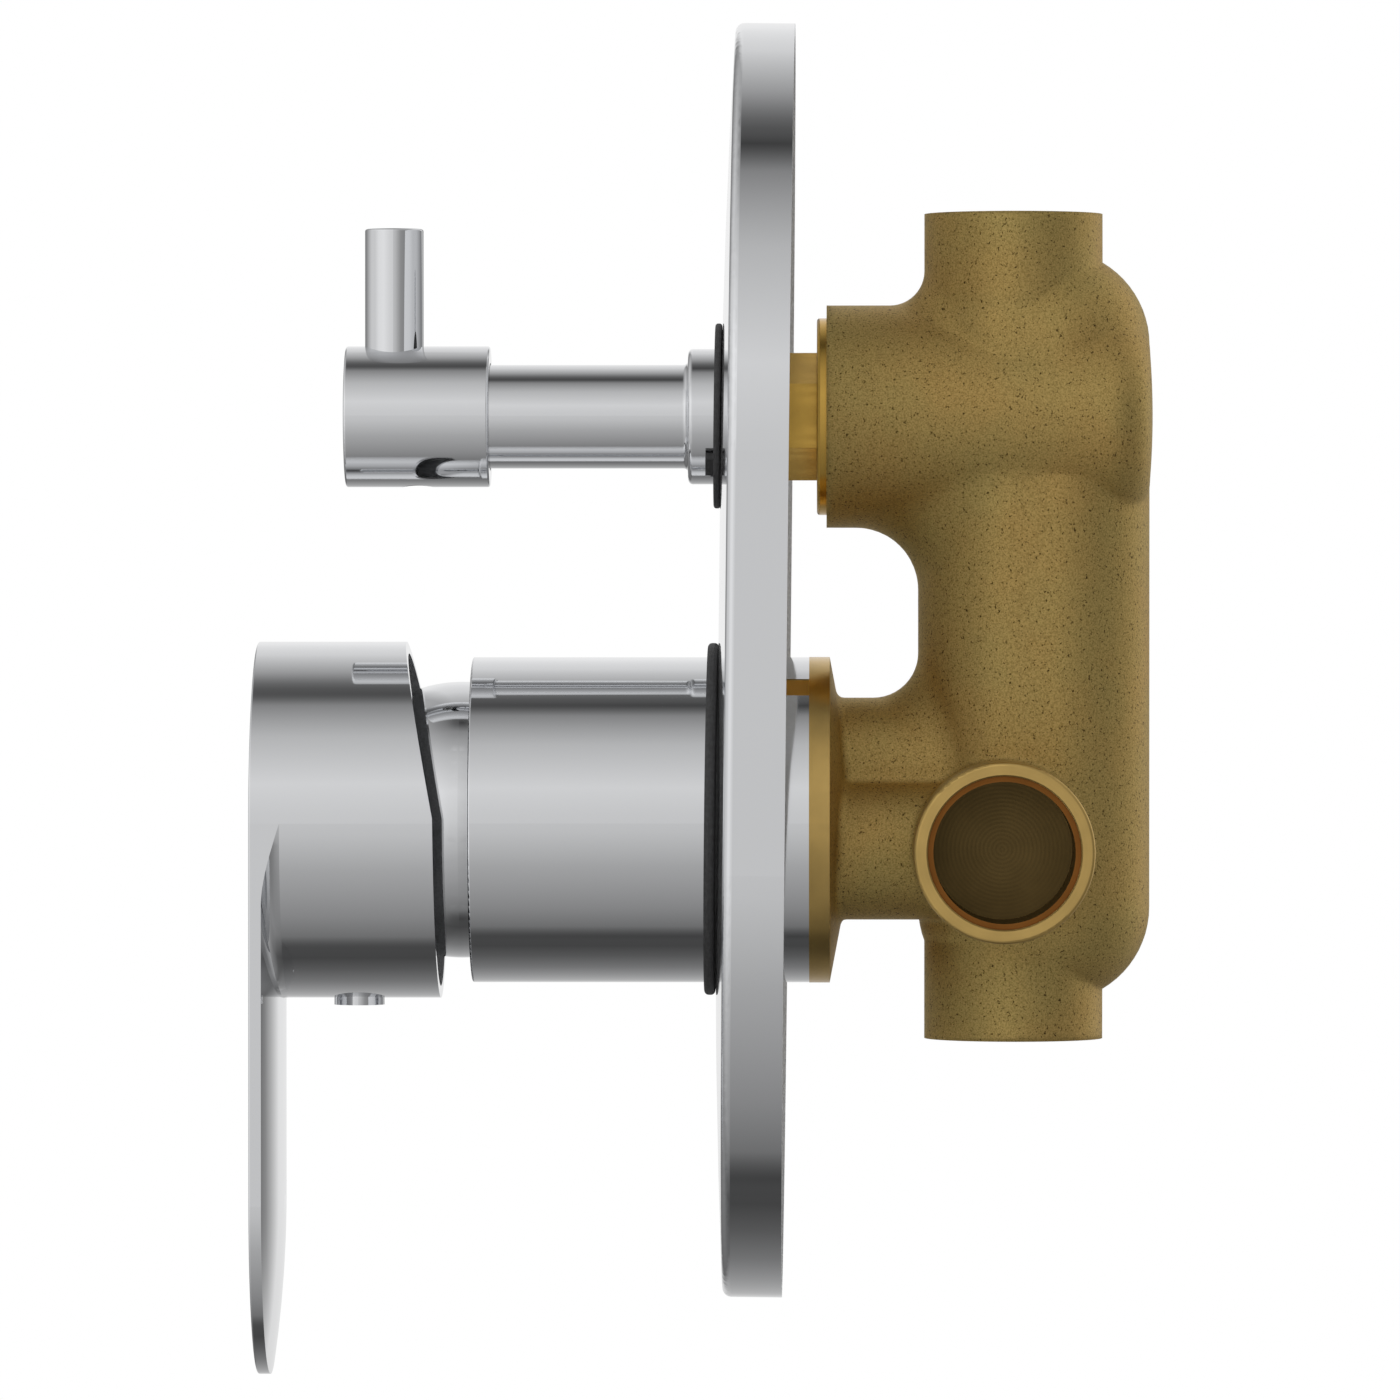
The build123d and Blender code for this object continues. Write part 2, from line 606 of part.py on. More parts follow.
def cartridge_housing():
    """Plastic shell round the discs and the driver."""
    shape = rod(CARTRIDGE_RADIUS, CARTRIDGE_SHOULDER, SEAT - BASE_THICKNESS)
    shape += rod(CARTRIDGE_NECK_RADIUS, CARTRIDGE_NECK_END, CARTRIDGE_SHOULDER)
    shape -= rod(CARTRIDGE_BORE, DRIVER_STEP - SLIP, 0)
    return shape - rod(CARTRIDGE_NECK_BORE, CARTRIDGE_NECK_END - PAST, 0)


def spindle():
    """Square steel lever with an eye for the pivot pin and a ball that moves the disc."""
    half = SPINDLE_SIDE / 2
    shape = block((-half, half), (SPINDLE_END, PIVOT_Y), (-half, half))
    shape += crosswise(PIVOT_EYE_RADIUS, SPINDLE_EYE_WIDTH / 2, PIVOT_Y, 0)
    shape += rod(SPINDLE_ARM_RADIUS, PIVOT_Y, PIVOT_Y + SPINDLE_ARM)
    shape += Pos(0, PIVOT_Y + SPINDLE_ARM, 0) * Sphere(SPINDLE_BALL_RADIUS)
    return shape - crosswise(PIVOT_PIN_RADIUS + RUNNING, SPINDLE_SIDE, PIVOT_Y, 0)


def pivot_pin():
    """Steel pin on which the spindle tilts."""
    return crosswise(PIVOT_PIN_RADIUS, PIVOT_PIN_HALF_LENGTH, PIVOT_Y, 0)


def cartridge_nut():
    """Brass ring nut that clamps the cartridge, with slots for its wrench."""
    shape = tube(NUT_THREAD_RADIUS, NUT_BORE, BARREL_FRONT, CARTRIDGE_SHOULDER)
    shape += tube(NUT_COLLAR_RADIUS, NUT_BORE, NUT_FRONT, BARREL_FRONT)
    width = (-NUT_SLOT / 2, NUT_SLOT / 2)
    depth = (NUT_FRONT - PAST, NUT_FRONT + NUT_SLOT_DEPTH)
    across = (-NUT_THREAD_RADIUS, NUT_THREAD_RADIUS)
    return shape - block(across, depth, width) - block(width, depth, across)


def bonnet_dome():
    """Chromed dome between the handle and the sleeve."""
    shape = Pos(0, DOME_CENTRE, 0) * Sphere(DOME_RADIUS)
    shape &= rod(DOME_RADIUS + PAST, DOME_FRONT, DOME_BACK)
    shape -= rod(DOME_BORE, DOME_FRONT + DOME_LIP, DOME_BACK + PAST)
    shape -= rod(DOME_OPENING, DOME_FRONT - PAST, DOME_BACK)
    return fillet(edges_at(shape, DOME_FRONT), DOME_EDGE)


def sleeve():
    """Chromed tube round the barrel, with a lip in front and a notch at the back."""
    shape = tube(SLEEVE_RADIUS, SLEEVE_BORE, SLEEVE_FRONT + SLEEVE_LIP, FLANGE_FRONT)
    shape += tube(SLEEVE_RADIUS, SLEEVE_OPENING, SLEEVE_FRONT, SLEEVE_FRONT + SLEEVE_LIP)
    shape = fillet(edges_at(shape, SLEEVE_FRONT), SLEEVE_EDGE)
    notch = block(
        (SLEEVE_BORE - PAST, SLEEVE_RADIUS + PAST),
        (FLANGE_FRONT - NOTCH_LENGTH, FLANGE_FRONT + PAST),
        (-NOTCH_WIDTH / 2, NOTCH_WIDTH / 2),
    )
    return shape - Rot(0, -NOTCH_ANGLE, 0) * notch


def sleeve_ring():
    """Rubber ring that holds the sleeve on the barrel."""
    return tube(SLEEVE_BORE, RING_GROOVE_RADIUS, RING_FRONT, RING_FRONT + RING_WIDTH)


def handle_screw_hole():
    """Hole under the cap for the index button and, further in, the set screw."""
    hole = upright(HANDLE_SCREW_RADIUS, -CAP_RADIUS, 0, HANDLE_SCREW_Y)
    mouth = (-CAP_RADIUS - PAST, -CAP_RADIUS + INDEX_DEPTH)
    return hole + upright(INDEX_RADIUS + RUNNING, *mouth, HANDLE_SCREW_Y)


def cap_opening():
    """What is cut from behind the cap: straight below the axis, slanted forward above it."""
    outline = Polyline(
        (CAP_REAR, -CAP_RADIUS - PAST),
        (CAP_REAR_MIDDLE, CAP_REAR_KINK_Z),
        (CAP_REAR_TOP, CAP_RADIUS),
        (CAP_REAR_TOP, CAP_RADIUS + PAST),
        (0, CAP_RADIUS + PAST),
        (0, -CAP_RADIUS - PAST),
        close=True,
    )
    face = Plane.YZ * make_face(outline)
    return extrude(face, amount=CAP_RADIUS + PAST, both=True)


def scoop_ring():
    """Concave sweep that carries the cap's wall into the back of the blade."""
    floor = CAP_FRONT + BLADE_EDGE
    root = floor - BLADE_EDGE / 2
    middle = SCOOP * (1 - cos(radians(45)))
    face = make_face(
        [
            Line((CAP_BORE, root), (CAP_RADIUS + SCOOP, root)),
            Line((CAP_RADIUS + SCOOP, root), (CAP_RADIUS + SCOOP, floor)),
            ThreePointArc(
                (CAP_RADIUS + SCOOP, floor),
                (CAP_RADIUS + middle, floor + middle),
                (CAP_RADIUS, floor + SCOOP),
            ),
            Line((CAP_RADIUS, floor + SCOOP), (CAP_BORE, floor + SCOOP)),
            Line((CAP_BORE, floor + SCOOP), (CAP_BORE, root)),
        ]
    )
    return revolve(face, Axis.Y)


def lever_handle():
    """Cap and blade in one casting, hollow behind, with a boss and web for the spindle."""
    low = BLADE_TIP + CAP_RADIUS
    outer = rod(CAP_RADIUS, CAP_FRONT, CAP_REAR + PAST)
    blade = pillow(CAP_RADIUS, low, 0, CAP_FRONT, CAP_FRONT + BLADE_EDGE, CAP_FRONT + BLADE_CROWN)
    envelope = pillow(CAP_RADIUS, low, 0, CAP_FRONT, CAP_REAR_MIDDLE, CAP_REAR)
    outer = outer + blade + (scoop_ring() & envelope)
    outer = outer.clean()
    outer = fillet(edges_at(outer, CAP_FRONT), HANDLE_EDGE)
    inner_front = CAP_FRONT + CAP_FRONT_WALL
    shape = outer - cap_opening() - rod(CAP_BORE, inner_front, 0)
    boss = rod(BOSS_RADIUS, inner_front - BOSS_ROOT, BOSS_BACK)
    half = WEB_WIDTH / 2
    boss += block((-half, half), (inner_front - BOSS_ROOT, WEB_BACK), (-CAP_BORE - WEB_ROOT, 0))
    socket = SPINDLE_SIDE / 2 + RUNNING
    boss -= block((-socket, socket), (SOCKET_END, 0), (-socket, socket))
    return shape + boss - handle_screw_hole()


def hex_recess(radius, depth):
    """Six-sided key recess, its mouth at the origin and facing -Z."""
    return extrude(RegularPolygon(radius, 6), amount=depth)


def handle_screw():
    """Set screw that clamps the handle on the spindle."""
    top = -SPINDLE_SIDE / 2
    low = top - HANDLE_SCREW_LENGTH
    shape = upright(HANDLE_SCREW_RADIUS, low, top, HANDLE_SCREW_Y)
    return shape - Pos(0, HANDLE_SCREW_Y, low) * hex_recess(HANDLE_KEY_RADIUS, HANDLE_KEY_DEPTH)


def index_cap():
    """Button that closes the screw hole under the cap, with a raised rim."""
    low = -CAP_RADIUS - INDEX_STAND_OUT
    shape = upright(INDEX_RADIUS, low, -CAP_RADIUS + INDEX_DEPTH, HANDLE_SCREW_Y)
    return shape - upright(INDEX_RADIUS - INDEX_RING, low - PAST, low + INDEX_DISH, HANDLE_SCREW_Y)


def leaned(shape):
    """Tip a piece with the cover plate, its top towards the wall."""
    return Rot(-PLATE_LEAN, 0, 0) * shape


def cover_plate():
    """Round-ended chromed plate with a domed face, hollow behind."""
    centres = (PLATE_LOW_CENTRE, PLATE_HIGH_CENTRE)
    edge = -PLATE_DEPTH
    shape = pillow(PLATE_RADIUS, *centres, 0, edge, PLATE_FACE)
    shape = fillet(edges_at(shape, edge), PLATE_FRONT_EDGE)
    inner = edge + PLATE_WALL
    shape -= pillow(PLATE_RADIUS - PLATE_WALL, *centres, PAST, inner, PLATE_FACE + PLATE_WALL)
    front = PLATE_FACE - PAST
    shape -= rod(PLATE_SLEEVE_HOLE, front, 0)
    shape -= rod(PLATE_TUBE_HOLE, front, 0, z=DIVERTER_Z)
    return leaned(shape)


def grommet(outer, bore, front, hole, z):
    """Rubber gasket: a rounded lip on the plate's face and a spigot in its hole."""
    lip = tube(outer, bore, front, PLATE_FACE, z=z)
    rims = [e for e in edges_at(lip, front) + edges_at(lip, PLATE_FACE) if e.radius > bore + SLIP]
    lip = fillet(rims, GASKET_ROUND_SHARE * (PLATE_FACE - front))
    return lip + tube(hole - SLIP, bore, PLATE_FACE, GASKET_SPIGOT_BACK, z=z)


def sleeve_gasket():
    """Gasket between the plate and the sleeve."""
    lip = (SLEEVE_GASKET_RADIUS, SLEEVE_GASKET_BORE, SLEEVE_GASKET_FRONT)
    return leaned(grommet(*lip, PLATE_SLEEVE_HOLE, MIXER_Z))


def tube_gasket():
    """Gasket between the plate and the diverter tube, with a small nub in front."""
    lip = (TUBE_GASKET_RADIUS, TUBE_GASKET_BORE, TUBE_GASKET_FRONT)
    shape = grommet(*lip, PLATE_TUBE_HOLE, DIVERTER_Z)
    half = NUB_SIZE / 2
    reach = (TUBE_GASKET_BORE + SLIP, TUBE_GASKET_BORE + SLIP + half)
    nub = block(reach, (NUB_FRONT, TUBE_GASKET_FRONT + NUB_ROOT), (-half, half))
    shape += Pos(0, 0, DIVERTER_Z) * Rot(0, -NUB_ANGLE, 0) * nub
    return leaned(shape)


def diverter_headwork():
    """Brass body of the diverter cartridge: neck, hexagon, sealing flange, thread and cage."""
    shape = rod(TUBE_BORE - SLIP, NECK_FRONT, HEX_FRONT, z=DIVERTER_Z)
    shape += hexagon(HEX_ACROSS_FLATS, HEX_FRONT, HEX_BACK, DIVERTER_Z)
    washer = rod(WASHER_RADIUS, HEX_BACK, CHAMBER_FACE, z=DIVERTER_Z)
    shape += fillet(edges_at(washer, HEX_BACK), WASHER_ROUND)
    shape += rod(HEADWORK_THREAD_RADIUS, CHAMBER_FACE, HEADWORK_THREAD_END, z=DIVERTER_Z)
    shape += rod(CAGE_RADIUS, HEADWORK_THREAD_END, CAGE_END, z=DIVERTER_Z)
    shape -= rod(DIVERTER_SPINDLE_RADIUS + RUNNING, NECK_FRONT - PAST, CAGE_END, z=DIVERTER_Z)
    shape -= rod(CAGE_BORE, DIVERTER_FLANGE_FRONT - SLIP, CAGE_END + PAST, z=DIVERTER_Z)
    width = (-CAGE_WINDOW / 2, CAGE_WINDOW / 2)
    depth = (DIVERTER_FLANGE_FRONT, DIVERTER_SEAT_FRONT - CAGE_RIM)
    across = (-CAGE_RADIUS - PAST, CAGE_RADIUS + PAST)
    shape -= Pos(0, 0, DIVERTER_Z) * block(across, depth, width)
    shape -= Pos(0, 0, DIVERTER_Z) * block(width, depth, across)
    return shape - headwork_ring()


def headwork_ring():
    """Rubber ring behind the diverter's sealing flange."""
    inner = HEADWORK_THREAD_RADIUS - HEAD_RING_DEPTH
    back = CHAMBER_FACE + HEAD_RING_WIDTH
    return tube(HEAD_RING_RADIUS, inner, CHAMBER_FACE, back, z=DIVERTER_Z)


def diverter_spindle():
    """Brass spindle from the knob to the diverter's moving disc."""
    shape = rod(DIVERTER_SPINDLE_RADIUS, DIVERTER_SPINDLE_END, DIVERTER_FLANGE_FRONT, z=DIVERTER_Z)
    shape += rod(DIVERTER_FLANGE_RADIUS, DIVERTER_FLANGE_FRONT, DIVERTER_DISC_FRONT, z=DIVERTER_Z)
    outer = DIVERTER_SPINDLE_RADIUS + PAST
    back = CLIP_FRONT + CLIP_WIDTH
    return shape - tube(outer, CLIP_GROOVE_RADIUS, CLIP_FRONT, back, z=DIVERTER_Z)


def diverter_moving_disc():
    """Ceramic disc that turns with the spindle, cut away on one side to let water through."""
    shape = rod(DIVERTER_FLANGE_RADIUS, DIVERTER_DISC_FRONT, DIVERTER_SEAT_FRONT, z=DIVERTER_Z)
    depth = (DIVERTER_DISC_FRONT + DIVERTER_DISC_WEB, DIVERTER_SEAT_FRONT + PAST)
    cut = block((0, CAGE_RADIUS), depth, (-CAGE_RADIUS, CAGE_RADIUS))
    return shape - Pos(0, 0, DIVERTER_Z) * cut


def diverter_ports(start, end):
    """The two openings that lead to the upper and the lower outlet."""
    shape = rod(DIVERTER_PORT_RADIUS, start, end, z=DIVERTER_Z + OUTLET_HOLE_OFFSET)
    return shape + rod(DIVERTER_PORT_RADIUS, start, end, z=DIVERTER_Z - OUTLET_HOLE_OFFSET)


def diverter_seat_disc():
    """Ceramic disc that stands still, with one port for each outlet."""
    shape = rod(DIVERTER_SEAT_RADIUS, DIVERTER_SEAT_FRONT, DIVERTER_SEAL_FRONT, z=DIVERTER_Z)
    return shape - diverter_ports(DIVERTER_SEAT_FRONT - PAST, DIVERTER_SEAL_FRONT + PAST)


def diverter_seat_seal():
    """Rubber seal between the fixed disc and the chamber's floor."""
    shape = rod(DIVERTER_SEAT_RADIUS, DIVERTER_SEAL_FRONT, CAVITY_FLOOR, z=DIVERTER_Z)
    return shape - diverter_ports(DIVERTER_SEAL_FRONT - PAST, CAVITY_FLOOR + PAST)


def spindle_clip():
    """Steel clip that keeps the diverter spindle in its neck."""
    back = CLIP_FRONT + CLIP_WIDTH
    shape = tube(CLIP_RADIUS, CLIP_GROOVE_RADIUS, CLIP_FRONT, back, z=DIVERTER_Z)
    half = CLIP_GAP / 2
    gap = block((-half, half), (CLIP_FRONT - PAST, back + PAST), (-CLIP_RADIUS - PAST, 0))
    return shape - Pos(0, 0, DIVERTER_Z) * gap


def diverter_tube():
    """Chromed tube over the spindle, turned in one with its collar."""
    shape = rod(TUBE_RADIUS, TUBE_FRONT, TUBE_BACK, z=DIVERTER_Z)
    collar = rod(COLLAR_RADIUS, COLLAR_FRONT, -PLATE_DEPTH, z=DIVERTER_Z)
    shape += fillet(edges_at(collar, COLLAR_FRONT), COLLAR_ROUND)
    inside = [e for e in edges_at(shape, COLLAR_FRONT) if e.radius < TUBE_RADIUS + SLIP]
    shape = fillet(inside, COLLAR_ROUND)
    return shape - rod(TUBE_BORE, TUBE_FRONT - PAST, TUBE_BACK + PAST, z=DIVERTER_Z)


def diverter_knob():
    """Chromed knob that turns the spindle; its skirt covers the end of the tube."""
    shape = rod(KNOB_RADIUS, KNOB_FRONT, KNOB_BACK, z=DIVERTER_Z)
    shape = fillet(edges_at(shape, KNOB_FRONT) + edges_at(shape, KNOB_BACK), KNOB_EDGE)
    shape -= rod(KNOB_SKIRT_BORE, KNOB_BACK - KNOB_SKIRT_DEPTH, KNOB_BACK + PAST, z=DIVERTER_Z)
    shape -= rod(DIVERTER_SPINDLE_RADIUS, DIVERTER_SPINDLE_END, KNOB_BACK + PAST, z=DIVERTER_Z)
    shape -= upright(KNOB_PIN_RADIUS, KNOB_PIN_SEAT, KNOB_PIN_TOP, KNOB_PIN_Y)
    shape -= upright(KNOB_STUD_RADIUS, KNOB_PIN_SEAT - KNOB_STUD_LENGTH, KNOB_PIN_TOP, KNOB_PIN_Y)
    low = DIVERTER_Z - KNOB_RADIUS - PAST
    return shape - upright(KNOB_SCREW_RADIUS, low, DIVERTER_Z, KNOB_SCREW_Y)


def knob_pin():
    """Round finger pin screwed into the top of the knob."""
    shape = upright(KNOB_PIN_RADIUS, KNOB_PIN_SEAT, KNOB_PIN_TOP, KNOB_PIN_Y)
    shape = fillet(shape.edges().group_by(Axis.Z)[-1], KNOB_PIN_EDGE)
    low = KNOB_PIN_SEAT - KNOB_STUD_LENGTH
    return shape + upright(KNOB_STUD_RADIUS, low, KNOB_PIN_SEAT, KNOB_PIN_Y)


def knob_screw():
    """Set screw that clamps the knob on the diverter spindle."""
    top = DIVERTER_Z - DIVERTER_SPINDLE_RADIUS
    low = top - KNOB_SCREW_LENGTH
    shape = upright(KNOB_SCREW_RADIUS, low, top, KNOB_SCREW_Y)
    return shape - Pos(0, KNOB_SCREW_Y, low) * hex_recess(KNOB_KEY_RADIUS, KNOB_KEY_DEPTH)


PIECES = {
    "valve_body": valve_body,
    "cartridge_base": cartridge_base,
    "cartridge_base_seals": base_seals,
    "cartridge_fixed_disc": fixed_disc,
    "cartridge_moving_disc": moving_disc,
    "cartridge_disc_carrier": disc_carrier,
    "cartridge_driver": cartridge_driver,
    "cartridge_housing": cartridge_housing,
    "cartridge_spindle": spindle,
    "spindle_pivot_pin": pivot_pin,
    "cartridge_nut": cartridge_nut,
    "bonnet_dome": bonnet_dome,
    "sleeve": sleeve,
    "sleeve_o_ring": sleeve_ring,
    "lever_handle": lever_handle,
    "handle_set_screw": handle_screw,
    "index_button": index_cap,
    "cover_plate": cover_plate,
    "sleeve_gasket": sleeve_gasket,
    "tube_gasket": tube_gasket,
    "diverter_headwork": diverter_headwork,
    "headwork_o_ring": headwork_ring,
    "diverter_spindle": diverter_spindle,
    "diverter_moving_disc": diverter_moving_disc,
    "diverter_seat_disc": diverter_seat_disc,
    "diverter_seat_seal": diverter_seat_seal,
    "spindle_clip": spindle_clip,
    "diverter_tube": diverter_tube,
    "diverter_knob": diverter_knob,
    "knob_pin": knob_pin,
    "knob_set_screw": knob_screw,
}

for name, make in PIECES.items():
    export_step(make(), f"parts/{name}.step")
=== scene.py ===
# %% [markdown]
# # A concealed shower mixer with a diverter
# The valve is a brass casting that sits inside a wall. In front of the wall stand a chromed
# cover plate, a lever handle and a diverter knob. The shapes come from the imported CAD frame.
# This lesson gives each piece the finish that its maker gave it, and then lights it.

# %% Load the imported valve
import json
import math

import bpy
import numpy as np
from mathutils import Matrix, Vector


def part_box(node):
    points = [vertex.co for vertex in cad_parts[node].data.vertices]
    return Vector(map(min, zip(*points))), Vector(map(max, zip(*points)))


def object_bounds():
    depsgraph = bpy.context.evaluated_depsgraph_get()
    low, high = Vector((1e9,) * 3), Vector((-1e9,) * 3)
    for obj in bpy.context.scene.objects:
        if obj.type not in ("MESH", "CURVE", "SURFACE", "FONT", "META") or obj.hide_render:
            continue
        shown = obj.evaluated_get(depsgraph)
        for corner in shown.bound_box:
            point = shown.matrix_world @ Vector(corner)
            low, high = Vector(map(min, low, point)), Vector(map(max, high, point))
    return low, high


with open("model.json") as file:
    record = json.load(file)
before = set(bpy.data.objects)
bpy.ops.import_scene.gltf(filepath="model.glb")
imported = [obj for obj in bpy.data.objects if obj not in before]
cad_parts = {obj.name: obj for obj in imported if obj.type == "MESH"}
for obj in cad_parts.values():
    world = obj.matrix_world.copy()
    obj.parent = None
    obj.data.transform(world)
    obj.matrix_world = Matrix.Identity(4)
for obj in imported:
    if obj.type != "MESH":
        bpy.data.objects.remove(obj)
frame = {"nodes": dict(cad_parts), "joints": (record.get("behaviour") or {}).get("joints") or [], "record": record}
cad_low, cad_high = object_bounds()
nodes = frame["nodes"]
MM = 0.001
bpy.ops.object.select_all(action="DESELECT")
print("pieces:", len(nodes), "size in mm:", [round(v / MM, 1) for v in cad_high - cad_low])

# %% [markdown]
# ## Colours and nodes
# A colour picker shows sRGB values, but a shader works with linear light. One function turns
# one into the other, so that every colour below can be written as it looks.
# A second function adds a node with its settings and links, which keeps each material short
# enough to read from top to bottom.


# %% Helpers for every material
MIX_FIRST = 6     # a colour Mix node's two colour inputs and its colour output
MIX_SECOND = 7
MIX_RESULT = 2


def tone(value):
    """One sRGB value from 0 to 1 as linear light."""
    return value / 12.92 if value <= 0.04045 else ((value + 0.055) / 1.055) ** 2.4


def colour(hex_text):
    """An sRGB hex colour as linear red, green, blue and alpha."""
    return [tone(int(hex_text[i:i + 2], 16) / 255) for i in (1, 3, 5)] + [1.0]


def add(tree, kind, values=None, links=None, **settings):
    """Adds a node, with settings of its own, values on its sockets and links into them."""
    node = tree.nodes.new(kind)
    for name, value in settings.items():
        setattr(node, name, value)
    for socket, value in (values or {}).items():
        node.inputs[socket].default_value = value
    for socket, source in (links or {}).items():
        tree.links.new(source, node.inputs[socket])
    return node


def start_finish(name, values):
    """A new material with these values on its shader. Returns it, its tree and the shader."""
    material = bpy.data.materials.new(name)
    material.use_nodes = True
    tree = material.node_tree
    shader = tree.nodes["Principled BSDF"]
    for socket, value in values.items():
        shader.inputs[socket].default_value = value
    return material, tree, shader


def per_mm(size):
    """Pattern scale, in cells to the metre, for a cell of this size in millimetres."""
    return 1 / (size * MM)


def place_on(tree):
    """Where on the piece a point lies, in metres of the CAD frame."""
    return add(tree, "ShaderNodeTexCoord").outputs["Object"]


def fade(tree, source, stops):
    """A ramp from a grey pattern to colours or greys, given as (position, colour) pairs."""
    node = add(tree, "ShaderNodeValToRGB", links={"Fac": source})
    ramp = node.color_ramp
    while len(ramp.elements) < len(stops):
        ramp.elements.new(1.0)
    for element, (position, value) in zip(ramp.elements, stops):
        element.position = position
        element.color = value
    return node.outputs["Color"]


def grey(value):
    """A linear grey as a colour."""
    return [value, value, value, 1.0]


def bump(tree, shader, height, depth_mm, strength, rounding_mm=0.0):
    """Raises the surface by a pattern, as deep as the real texture is in millimetres.

    A rounding softens the light on edges and in corners, as if they had that radius.
    """
    links = {"Height": height}
    if rounding_mm:
        soft = add(tree, "ShaderNodeBevel", {"Radius": rounding_mm * MM}, samples=6)
        links["Normal"] = soft.outputs["Normal"]
    node = add(
        tree, "ShaderNodeBump", {"Strength": strength, "Distance": depth_mm * MM}, links
    )
    tree.links.new(node.outputs["Normal"], shader.inputs["Normal"])


# %% [markdown]
# ## Polished chrome plate
# The handle, knob, tube, sleeve, dome and cover plate are brass or zinc, polished and plated
# with nickel and a thin skin of chromium. The eye reads chrome from what it mirrors, so the
# shader is nearly plain: pale neutral metal with very low roughness. Buffing leaves a faint
# haze that changes from place to place, and the plating a waviness of some millimetres. Both
# are too weak to see as a pattern, but they keep the reflections from looking computed.


# %% Polished chrome plate
def polished_chrome():
    """Neutral mirror metal with a trace of buffing haze."""
    material, tree, shader = start_finish(
        "polished_chrome_plate", {"Base Color": colour("#e4e5e7"), "Metallic": 1.0}
    )
    place = place_on(tree)
    haze = add(
        tree, "ShaderNodeTexNoise", {"Scale": per_mm(9), "Detail": 2.0}, {"Vector": place}
    ).outputs["Fac"]
    roughness = fade(tree, haze, [(0.3, grey(0.025)), (0.7, grey(0.045))])
    tree.links.new(roughness, shader.inputs["Roughness"])
    wave = add(tree, "ShaderNodeTexNoise", {"Scale": per_mm(6)}, {"Vector": place})
    bump(tree, shader, wave.outputs["Fac"], 0.005, 0.05)
    return material


CHROME = polished_chrome()
print("made", CHROME.name)

# %% [markdown]
# The hidden sides of the cover plate and of the lever's cap are never buffed. Plating on a
# rough casting stays matt and pale grey, so they get a finish of their own.


# %% Matt plating on the hidden sides
def matt_plating():
    """Unbuffed nickel and chrome plating: pale, grainy and without a mirror image."""
    material, tree, shader = start_finish(
        "matt_plated_casting", {"Metallic": 0.35, "Roughness": 0.5}
    )
    grain = add(
        tree, "ShaderNodeTexNoise", {"Scale": per_mm(0.5)}, {"Vector": place_on(tree)}
    ).outputs["Fac"]
    tint = fade(tree, grain, [(0.35, colour("#b9babb")), (0.65, colour("#cacbcc"))])
    tree.links.new(tint, shader.inputs["Base Color"])
    bump(tree, shader, grain, 0.02, 0.3)
    return material


MATT_PLATING = matt_plating()
print("made", MATT_PLATING.name)

# %% [markdown]
# ## Sand-cast brass
# The body is poured into a sand mould and only shot-blasted afterwards. Each grain of sand
# leaves a pit or a bump of about a quarter of a millimetre, and the skin is dull and olive
# rather than golden. Three noises of different cell size are laid over each other: wide
# stains of a centimetre or two, the grain itself, and scattered dark pits. The grain also
# feeds the bump, so that light catches it. Molten metal never fills a sharp corner of the
# sand, so the bump also rounds the light on all edges by 1.6 mm.


# %% Sand-cast brass
def sand_cast_brass():
    """Dull olive brass with sand grain and dark pits."""
    material, tree, shader = start_finish("sand_cast_brass", {"Metallic": 1.0, "Roughness": 0.56})
    place = place_on(tree)
    stains = add(
        tree, "ShaderNodeTexNoise", {"Scale": per_mm(16), "Detail": 3.0}, {"Vector": place}
    ).outputs["Fac"]
    skin = fade(tree, stains, [(0.35, colour("#c3ad6b")), (0.65, colour("#cda965"))])
    grain = add(
        tree,
        "ShaderNodeTexNoise",
        {"Scale": per_mm(0.24), "Detail": 3.0, "Roughness": 0.6},
        {"Vector": place},
    ).outputs["Fac"]
    speckle = fade(tree, grain, [(0.36, colour("#8d7640")), (0.6, colour("#d8bb77"))])
    grained = add(
        tree,
        "ShaderNodeMix",
        {"Factor": 0.5},
        {MIX_FIRST: skin, MIX_SECOND: speckle},
        data_type="RGBA",
    ).outputs[MIX_RESULT]
    pits = add(
        tree,
        "ShaderNodeTexNoise",
        {"Scale": per_mm(0.42), "Detail": 3.0, "Roughness": 0.7},
        {"Vector": place},
    ).outputs["Fac"]
    pit_mask = fade(tree, pits, [(0.36, grey(0.95)), (0.4, grey(0.0))])
    pitted = add(
        tree,
        "ShaderNodeMix",
        {MIX_SECOND: colour("#524020")},
        {"Factor": pit_mask, MIX_FIRST: grained},
        data_type="RGBA",
    ).outputs[MIX_RESULT]
    tree.links.new(pitted, shader.inputs["Base Color"])
    bump(tree, shader, grain, 0.04, 0.5, rounding_mm=1.6)
    return material


CAST_BRASS = sand_cast_brass()
print("made", CAST_BRASS.name)
